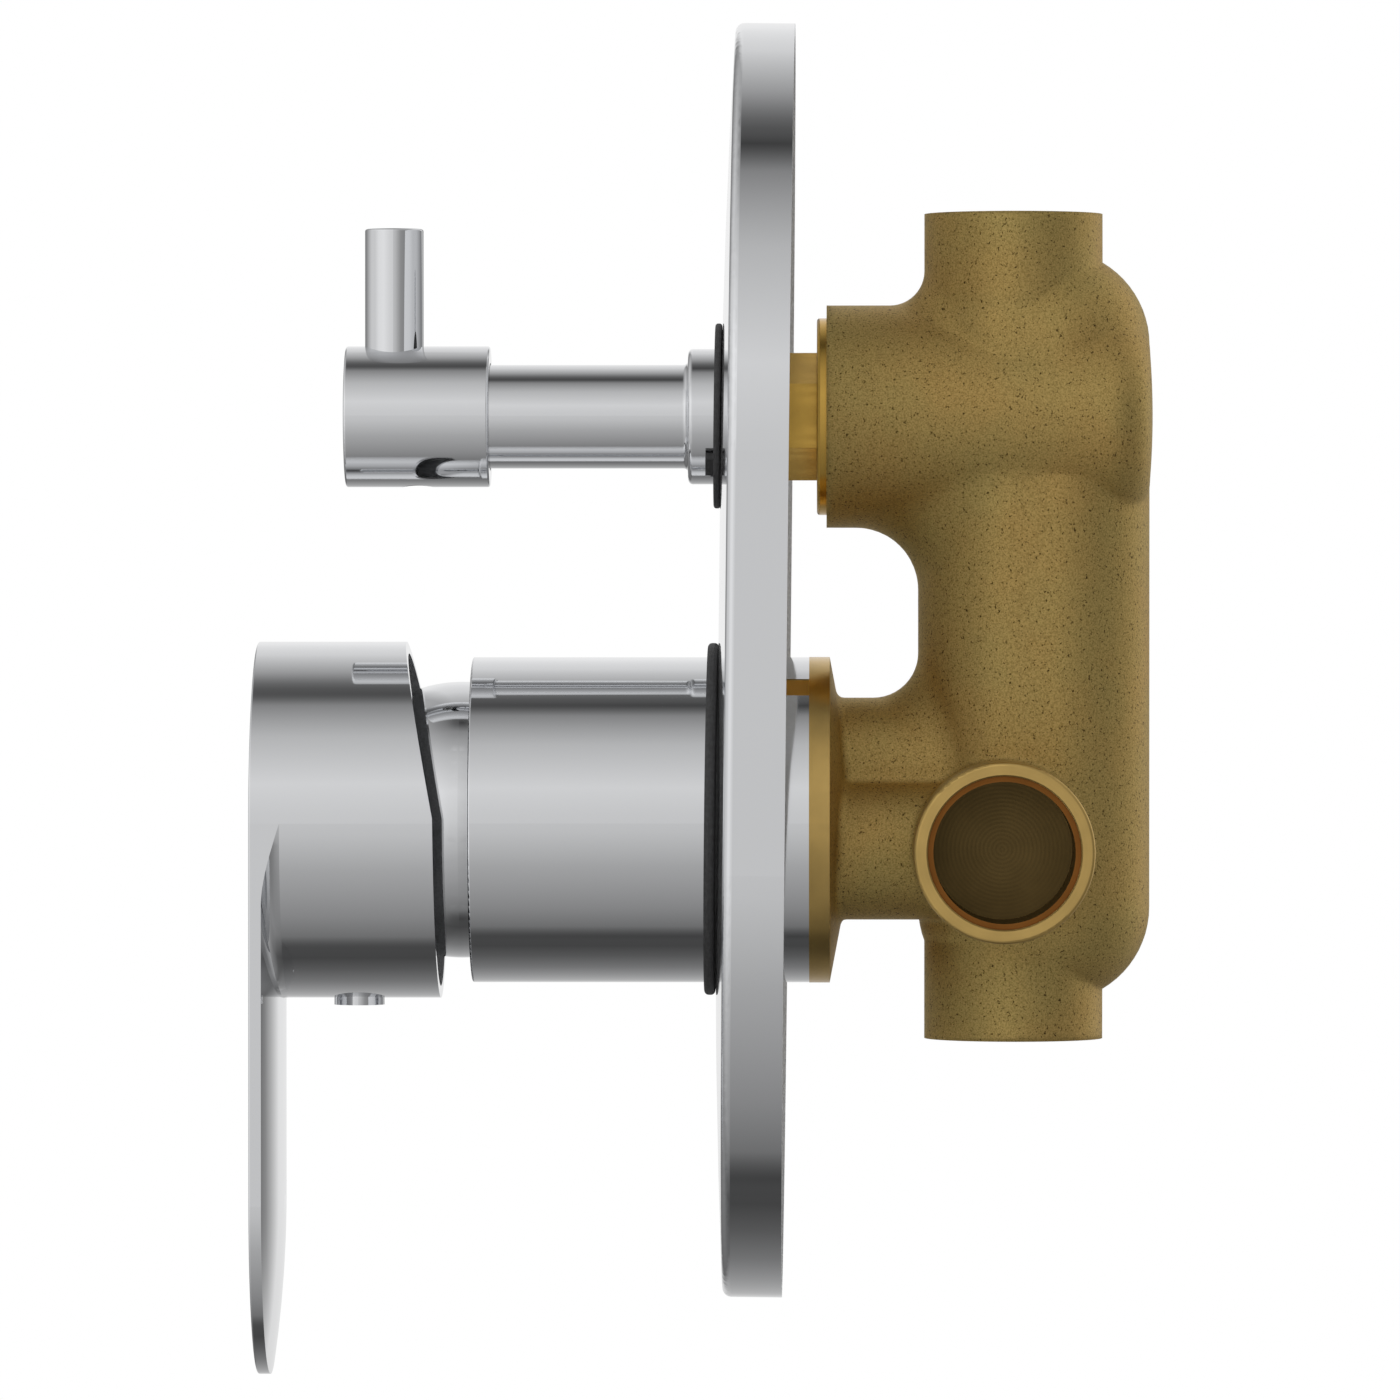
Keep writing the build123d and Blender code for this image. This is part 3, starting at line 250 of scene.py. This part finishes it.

# %% [markdown]
# ## Turned brass, and painted shade in the ports
# Where a pipe, a seal or a nut must fit, the casting is cut on a lathe, and the fresh metal
# is bright and golden. The tool leaves fine rings round the axis it turned about. A wave
# texture in rings does the same: it is centred on that axis, and the real feed of about a
# tenth of a millimetre is drawn three times as coarse so that it shows. Inside the ports the
# brass is painted darker and browner as painted shade, and the short relief behind the mouth
# is painted redder as a painted reflection of light bounced between the brass walls.


# %% Turned brass, and brass with painted shade and painted reflection for the ports
def turned_brass(name, tint, axis, centre, roughness):
    """Brass cut on a lathe about an axis, with tool rings round a centre given in metres."""
    material, tree, shader = start_finish(name, {"Metallic": 1.0})
    centred = add(
        tree,
        "ShaderNodeMapping",
        {"Location": [-c for c in centre]},
        {"Vector": place_on(tree)},
    ).outputs["Vector"]
    rings = add(
        tree,
        "ShaderNodeTexWave",
        {"Scale": per_mm(0.3) / (2 * math.pi), "Distortion": 0.4, "Detail": 1.0},
        {"Vector": centred},
        wave_type="RINGS",
        rings_direction=axis,
    ).outputs["Fac"]
    tarnish = add(tree, "ShaderNodeTexNoise", {"Scale": per_mm(5)}, {"Vector": centred})
    darker = [c * 0.88 for c in colour(tint)[:3]] + [1.0]
    cut = fade(tree, tarnish.outputs["Fac"], [(0.35, darker), (0.65, colour(tint))])
    tree.links.new(cut, shader.inputs["Base Color"])
    sheen = fade(tree, rings, [(0.0, grey(roughness)), (1.0, grey(roughness + 0.06))])
    tree.links.new(sheen, shader.inputs["Roughness"])
    bump(tree, shader, rings, 0.004, 0.3)
    return material


MIXER_AXIS = (0.0, 0.0, 0.0)
DIVERTER_AXIS = tuple(frame["joints"][-1]["pos_m"])
mounts = {m["name"]: m for m in frame["record"]["mounts"]}
INLET_AXIS = tuple(mounts["cold_inlet"]["pos_m"])
PIPE_AXIS = tuple(mounts["top_outlet"]["pos_m"])
TURNED = "#d2b06a"
GOLDEN = "#d8ae55"
# Painted shade: this darker, browner tone inside the port bores stands in for the shade there.
BORE_SHADE_TONE = "#7d683f"
# Painted reflection: this redder tone of the relief behind each mouth stands in for light bounced between brass
# walls.
RELIEF_REFLECTION_TONE = "#935f2c"
TURNED_FLANGE = turned_brass("turned_brass_flange", TURNED, "Y", MIXER_AXIS, 0.22)
TURNED_HEADWORK = turned_brass("turned_brass_headwork", GOLDEN, "Y", DIVERTER_AXIS, 0.2)
TURNED_INLET = turned_brass("turned_brass_inlet", TURNED, "X", INLET_AXIS, 0.3)
TURNED_OUTLET = turned_brass("turned_brass_outlet", TURNED, "Z", PIPE_AXIS, 0.3)
BORE_SHADE_BRASS = turned_brass("bore_painted_shade_brass", BORE_SHADE_TONE, "X", INLET_AXIS, 0.45)
RELIEF_REFLECTION_BRASS = turned_brass("relief_painted_reflection_brass", RELIEF_REFLECTION_TONE, "X", INLET_AXIS, 0.4)
print("made", TURNED_FLANGE.name, "and", BORE_SHADE_BRASS.name)

# %% [markdown]
# ## Rubber, plastics, ceramic and steel
# The gaskets are moulded rubber: black, matt and slightly dusty from talc. Inside the valve
# the cartridge is acetal, a slippery grey-white plastic, and its sealing discs are lapped
# alumina, which is pale and satin. Pins, clip and screws are turned stainless steel. These
# four differ mainly in colour and gloss, so one recipe with a grain of its own size for each
# is enough.


# %% Moulded, lapped and turned small pieces
def grained_finish(name, dark, light, grain_mm, depth_mm, values):
    """A finish whose colour drifts between two close tones, with a fine matching relief."""
    material, tree, shader = start_finish(name, values)
    grain = add(
        tree,
        "ShaderNodeTexNoise",
        {"Scale": per_mm(grain_mm), "Detail": 4.0},
        {"Vector": place_on(tree)},
    ).outputs["Fac"]
    tint = fade(tree, grain, [(0.35, colour(dark)), (0.65, colour(light))])
    tree.links.new(tint, shader.inputs["Base Color"])
    bump(tree, shader, grain, depth_mm, 0.3)
    return material


RUBBER = grained_finish(
    "moulded_epdm_rubber", "#232323", "#2f2f30", 0.6, 0.02, {"Roughness": 0.62, "IOR": 1.5}
)
ACETAL = grained_finish(
    "moulded_acetal", "#c6c7c3", "#d2d3cf", 1.5, 0.01, {"Roughness": 0.38, "IOR": 1.48}
)
ALUMINA = grained_finish(
    "lapped_alumina", "#e6e2d9", "#efece4", 0.4, 0.005, {"Roughness": 0.22, "IOR": 1.76}
)
STEEL = grained_finish(
    "turned_stainless_steel", "#9a9a98", "#acacaa", 0.3, 0.005, {"Roughness": 0.28, "Metallic": 1.0}
)
print("made", RUBBER.name, ACETAL.name, ALUMINA.name, STEEL.name)

# %% [markdown]
# ## Which piece has which finish
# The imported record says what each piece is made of, so the finishes are given out by its
# material slots. Two groups of faces then get a finish of their own in the next two steps.

# %% Give out the finishes
BY_SLOT = {
    "cast_brass": CAST_BRASS,
    "machined_brass": TURNED_HEADWORK,
    "chrome": CHROME,
    "rubber": RUBBER,
    "cartridge_plastic": ACETAL,
    "ceramic": ALUMINA,
    "steel": STEEL,
}
for entry in frame["record"]["subparts"]:
    mesh = nodes[entry["node"]].data
    mesh.materials.clear()
    mesh.materials.append(BY_SLOT[entry["material_slot"]])


# %% [markdown]
# ## The casting's finishes
# The brass casting is one solid with several finishes. Its skin stays as cast, the flange,
# the diverter's seat and the pipe ends are turned, the insides of the ports are painted
# darker as painted shade, and the relief behind each mouth is painted redder as a painted
# reflection. The faces are sorted by where they lie, which leaves the mesh as it is.


# %% Sort the faces of the casting
def face_places(mesh):
    """Centre of every face and its direction, as two arrays."""
    centres = np.empty(len(mesh.polygons) * 3)
    mesh.polygons.foreach_get("center", centres)
    normals = np.empty(len(mesh.polygons) * 3)
    mesh.polygons.foreach_get("normal", normals)
    return centres.reshape(-1, 3), normals.reshape(-1, 3)


def along_and_out(centres, point, axis):
    """How far each centre lies along an axis and how far out from it."""
    offset = centres - np.array(point)
    along = offset @ np.array(axis)
    out = np.linalg.norm(offset - np.outer(along, axis), axis=1)
    return along, out


MOUTH = 1.2 * MM
LIP_ROUND = 0.52 * MM
CHAMFER = 0.21 * MM
PIPE_RADIUS = 13.0 * MM
LEDGE_RADIUS = 10.95 * MM
BORE_DEPTH = 20.4 * MM
FLANGE_RADIUS = 23.7 * MM
FLANGE_BACK = 6.25 * MM
CHAMBER_FACE = 5.74 * MM
CHAMBER_LOWEST = 30 * MM
SLACK = 0.05 * MM

body_mesh = nodes["valve_body"].data
finishes = [CAST_BRASS, TURNED_FLANGE, TURNED_INLET, TURNED_OUTLET, BORE_SHADE_BRASS, RELIEF_REFLECTION_BRASS]
body_mesh.materials.clear()
for finish in finishes:
    body_mesh.materials.append(finish)
centres, _ = face_places(body_mesh)
choice = np.zeros(len(centres), int)

along, out = along_and_out(centres, MIXER_AXIS, (0, 1, 0))
turned_flange = (out < FLANGE_RADIUS) & (along < FLANGE_BACK)
on_chamber_face = abs(centres[:, 1] - CHAMBER_FACE) < SLACK
turned_seat = on_chamber_face & (centres[:, 2] > CHAMBER_LOWEST)
choice[turned_flange | turned_seat] = finishes.index(TURNED_FLANGE)

MOUTH_FINISHES = {
    "cold_inlet": TURNED_INLET,
    "hot_inlet": TURNED_INLET,
    "top_outlet": TURNED_OUTLET,
    "bottom_outlet": TURNED_OUTLET,
}
for name, finish in MOUTH_FINISHES.items():
    along, out = along_and_out(centres, mounts[name]["pos_m"], mounts[name]["axis"])
    mouth_ring = (along > MOUTH - LIP_ROUND) & (along < MOUTH + SLACK) & (out < PIPE_RADIUS)
    choice[mouth_ring] = finishes.index(finish)
    # Faces inside each port get painted shade, and the relief just behind the mouth gets a redder painted
    # reflection.
    bore_shade_faces = (along < MOUTH - CHAMFER) & (out < LEDGE_RADIUS)
    choice[bore_shade_faces & (along > -BORE_DEPTH)] = finishes.index(BORE_SHADE_BRASS)
    choice[bore_shade_faces & (along > -SLACK)] = finishes.index(RELIEF_REFLECTION_BRASS)
body_mesh.polygons.foreach_set("material_index", choice)
print("faces by finish:", {f.name: int((choice == i).sum()) for i, f in enumerate(finishes)})

# %% [markdown]
# ## The unbuffed sides
# Only the sides that a hand or an eye can reach are polished. A face of the cover plate is
# hidden if it looks to the wall, or inwards to the line between the plate's two round ends. A
# face of the cap is hidden if it lies inside the cap's wall and looks inwards or backwards.

# %% Matt hidden sides of the cover plate and the lever's cap
CAP_INSIDE = 24.3 * MM
CAP_CEILING = -73.5 * MM
PLATE_TO_WALL = 0.2     # least part of a face's direction that points to the wall
CAP_TO_WALL = 0.5


def hidden_side(mesh, faces):
    """Gives the chosen faces of a chromed piece the matt plating."""
    mesh.materials.append(MATT_PLATING)
    mesh.polygons.foreach_set("material_index", faces.astype(int))
    return int(faces.sum())


plate_mesh = nodes["cover_plate"].data
centres, normals = face_places(plate_mesh)
plate_low, plate_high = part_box("cover_plate")
half_width = (plate_high[0] - plate_low[0]) / 2
line_z = np.clip(centres[:, 2], plate_low[2] + half_width, plate_high[2] - half_width)
outward = centres[:, 0] * normals[:, 0] + (centres[:, 2] - line_z) * normals[:, 2]
upright = abs(normals[:, 1]) < PLATE_TO_WALL
inside = (normals[:, 1] > PLATE_TO_WALL) | ((outward < 0) & upright)
print("hidden faces of the plate:", hidden_side(plate_mesh, inside))

cap_mesh = nodes["lever_handle"].data
centres, normals = face_places(cap_mesh)
along, out = along_and_out(centres, MIXER_AXIS, (0, 1, 0))
outward = centres[:, 0] * normals[:, 0] + centres[:, 2] * normals[:, 2]
within = (out < CAP_INSIDE) & (along > CAP_CEILING)
inside = within & ((outward < 0) | (normals[:, 1] > CAP_TO_WALL))
print("hidden faces of the cap:", hidden_side(cap_mesh, inside))

# %% [markdown]
# ## Studio
# Chrome shows the studio it stands in. Here that is a wide pale surround that darkens
# towards straight up and straight down, which draws the dark lines along every round
# chrome bar. The surround is a ramp over the height of each direction, once for the
# camera's side and once for the far side. The tones are those that the chrome should show,
# divided by how much light chrome gives back. A third ramp goes round about: tall flags
# beside and behind the valve darken the surround there, and a bright screen stands on the
# user's side. They draw the dark upright lines on the finger pin and on all edges. The
# camera itself sees plain white round the valve in place of the surround.

# %% A surround with dark poles
CHROME_SHARE = tone(0.894)
CAMERA_SIDE = [
    (-90, 62), (-80, 108), (-64, 131), (-32, 159), (0, 192), (24, 204),
    (56, 177), (72, 147), (80, 128), (88, 78), (90, 60),
]
FAR_SIDE = [
    (-90, 60), (-84, 58), (-68, 85), (-52, 113), (-20, 167), (0, 215), (20, 219),
    (44, 203), (60, 171), (68, 150), (76, 116), (84, 74), (90, 60),
]
ROUND_ABOUT = [
    (-180, 1.0), (-170, 1.0), (-159, 0.2), (-132, 0.38), (-102, 0.76), (-61, 1.28), (-40, 1.33),
    (-14, 1.13), (0, 1.0), (12, 0.72), (27, 0.47), (55, 0.34), (85, 0.5), (110, 0.95),
    (140, 1.1), (150, 0.5), (160, 0.2), (170, 1.0), (180, 1.0),
]
BRIGHTEST = 1.5
SIDE_BLEND = 0.17


def surround_ramp(tree, height, tones):
    """Grey over the height of a direction, from straight down at 0 to straight up at 1."""
    stops = [((e + 90) / 180, grey(tone(t / 255) / CHROME_SHARE)) for e, t in tones]
    return fade(tree, height, stops)


world = bpy.data.worlds.new("studio_surround")
bpy.context.scene.world = world
world.use_nodes = True
tree = world.node_tree
tree.nodes.clear()
direction = add(tree, "ShaderNodeTexCoord").outputs["Generated"]
parts = add(tree, "ShaderNodeSeparateXYZ", links={"Vector": direction})
elevation = add(tree, "ShaderNodeMath", links={0: parts.outputs["Z"]}, operation="ARCSINE")
height = add(
    tree, "ShaderNodeMapRange",
    {"From Min": -math.pi / 2, "From Max": math.pi / 2},
    {"Value": elevation.outputs[0]},
).outputs["Result"]
side = add(
    tree, "ShaderNodeMapRange", {"From Min": -SIDE_BLEND, "From Max": SIDE_BLEND},
    {"Value": parts.outputs["X"]},
)
surround = add(
    tree, "ShaderNodeMix",
    links={
        "Factor": side.outputs["Result"],
        MIX_FIRST: surround_ramp(tree, height, FAR_SIDE),
        MIX_SECOND: surround_ramp(tree, height, CAMERA_SIDE),
    },
    data_type="RGBA",
).outputs[MIX_RESULT]
round_angle = add(
    tree, "ShaderNodeMath", links={0: parts.outputs["Y"], 1: parts.outputs["X"]},
    operation="ARCTAN2",
)
turn = add(
    tree, "ShaderNodeMapRange", {"From Min": -math.pi, "From Max": math.pi},
    {"Value": round_angle.outputs[0]},
).outputs["Result"]
flags = fade(tree, turn, [((a + 180) / 360, grey(f / BRIGHTEST)) for a, f in ROUND_ABOUT])
level = add(
    tree, "ShaderNodeMath", links={0: parts.outputs["Z"], 1: parts.outputs["Z"]},
    operation="MULTIPLY",
)
reach = add(tree, "ShaderNodeMath", {0: 1.0}, {1: level.outputs[0]}, operation="SUBTRACT")
flagged = add(
    tree, "ShaderNodeMix",
    {MIX_FIRST: grey(1 / BRIGHTEST)},
    {"Factor": reach.outputs[0], MIX_SECOND: flags},
    data_type="RGBA",
).outputs[MIX_RESULT]
shaped = add(
    tree, "ShaderNodeMix", {"Factor": 1.0}, {MIX_FIRST: surround, MIX_SECOND: flagged},
    data_type="RGBA", blend_type="MULTIPLY",
).outputs[MIX_RESULT]
lit = add(
    tree, "ShaderNodeBackground", {"Strength": BRIGHTEST}, {"Color": shaped}
).outputs[0]
white = add(tree, "ShaderNodeBackground", {"Color": grey(1.0)}).outputs[0]
path = add(tree, "ShaderNodeLightPath").outputs
clear = add(
    tree, "ShaderNodeMath", links={0: path["Is Camera Ray"], 1: path["Is Transmission Ray"]},
    operation="MAXIMUM",
).outputs[0]
seen = add(tree, "ShaderNodeMixShader", links={0: clear, 1: lit, 2: white}).outputs[0]
add(tree, "ShaderNodeOutputWorld", links={"Surface": seen})
print("surround tones:", len(CAMERA_SIDE), "and", len(FAR_SIDE))

# %% [markdown]
# ## Lamps and floor
# Three large soft lamps lift the matt pieces and draw a soft shadow. They aren't mirrored in
# the metal, as behind a diffusing tent. The floor is a sheet of white paper some way below
# the valve. Far out it fades to plain white, so that no horizon shows behind the valve, and
# it isn't mirrored either, because the surround already holds what the metal shows below.


# %% Lamps
def soft_lamp(name, place, size, watts):
    """A square lamp that looks at the valve and isn't mirrored in it."""
    light = bpy.data.lights.new(name, "AREA")
    light.size = size
    light.energy = watts
    lamp = bpy.data.objects.new(name, light)
    bpy.context.scene.collection.objects.link(lamp)
    lamp.location = place
    lamp.rotation_euler = (-Vector(place)).to_track_quat("-Z", "Y").to_euler()
    lamp.visible_glossy = False


LAMPS = {
    "lamp_above": ((0.25, -0.3, 1.2), 0.9, 7.0),
    "lamp_camera_side": ((1.3, -0.5, 0.6), 0.8, 6.0),
    "lamp_wall_side": ((0.4, 1.2, 0.3), 0.9, 7.0),
}
for name, (place, size, watts) in LAMPS.items():
    soft_lamp(name, place, size, watts)
print("lamps:", len(LAMPS))

# %% Floor of white paper
FLOOR_DROP = 45 * MM
FLOOR_RADIUS = 6.0
FADE_FROM = 0.26
FADE_TO = 0.45
bpy.ops.mesh.primitive_circle_add(
    vertices=96, radius=FLOOR_RADIUS, fill_type="NGON", location=(0, 0, cad_low.z - FLOOR_DROP)
)
floor = bpy.context.object
floor.name = "floor_paper"
bpy.ops.object.transform_apply(location=True)
paper, tree, shader = start_finish(
    "white_paper", {"Base Color": colour("#f3f3f1"), "Roughness": 0.9}
)
out_from_centre = add(tree, "ShaderNodeVectorMath", links={0: place_on(tree)}, operation="LENGTH")
far = add(
    tree, "ShaderNodeMapRange",
    {"From Min": FADE_FROM, "From Max": FADE_TO},
    {"Value": out_from_centre.outputs["Value"]},
    interpolation_type="SMOOTHSTEP",
).outputs["Result"]
path = add(tree, "ShaderNodeLightPath").outputs
far_seen = add(
    tree, "ShaderNodeMath", links={0: far, 1: path["Is Camera Ray"]}, operation="MULTIPLY"
)
white_far = add(tree, "ShaderNodeEmission", {"Strength": 1.0}).outputs[0]
sheet = add(
    tree, "ShaderNodeMixShader",
    links={0: far_seen.outputs[0], 1: shader.outputs[0], 2: white_far},
).outputs[0]
unmirrored = add(tree, "ShaderNodeBsdfTransparent").outputs[0]
seen = add(
    tree, "ShaderNodeMixShader", links={0: path["Is Glossy Ray"], 1: sheet, 2: unmirrored}
).outputs[0]
tree.links.new(seen, tree.nodes["Material Output"].inputs["Surface"])
floor.data.materials.append(paper)
print("floor at z in mm:", round((cad_low.z - FLOOR_DROP) / MM, 1))

# %% [markdown]
# ## Camera
# The photograph was taken from the valve's right-hand side with a long lens, about 1.4 m
# away and a little above the middle of the cover plate.

# %% Camera
CAMERA_PLACE = Vector((1.400, 0.007, 0.0327))
LOOK_AT = Vector((0.0, -0.0126, 0.01735))
FIELD_WIDTH = 0.2029
camera_data = bpy.data.cameras.new("camera")
camera_data.sensor_width = 36.0
camera_data.lens = camera_data.sensor_width * CAMERA_PLACE.x / FIELD_WIDTH
camera = bpy.data.objects.new("camera", camera_data)
bpy.context.scene.collection.objects.link(camera)
camera.location = CAMERA_PLACE
camera.rotation_euler = (LOOK_AT - CAMERA_PLACE).to_track_quat("-Z", "Y").to_euler()
bpy.context.scene.camera = camera
bpy.context.scene.view_settings.view_transform = "Standard"
print("lens in mm:", round(camera_data.lens, 1))
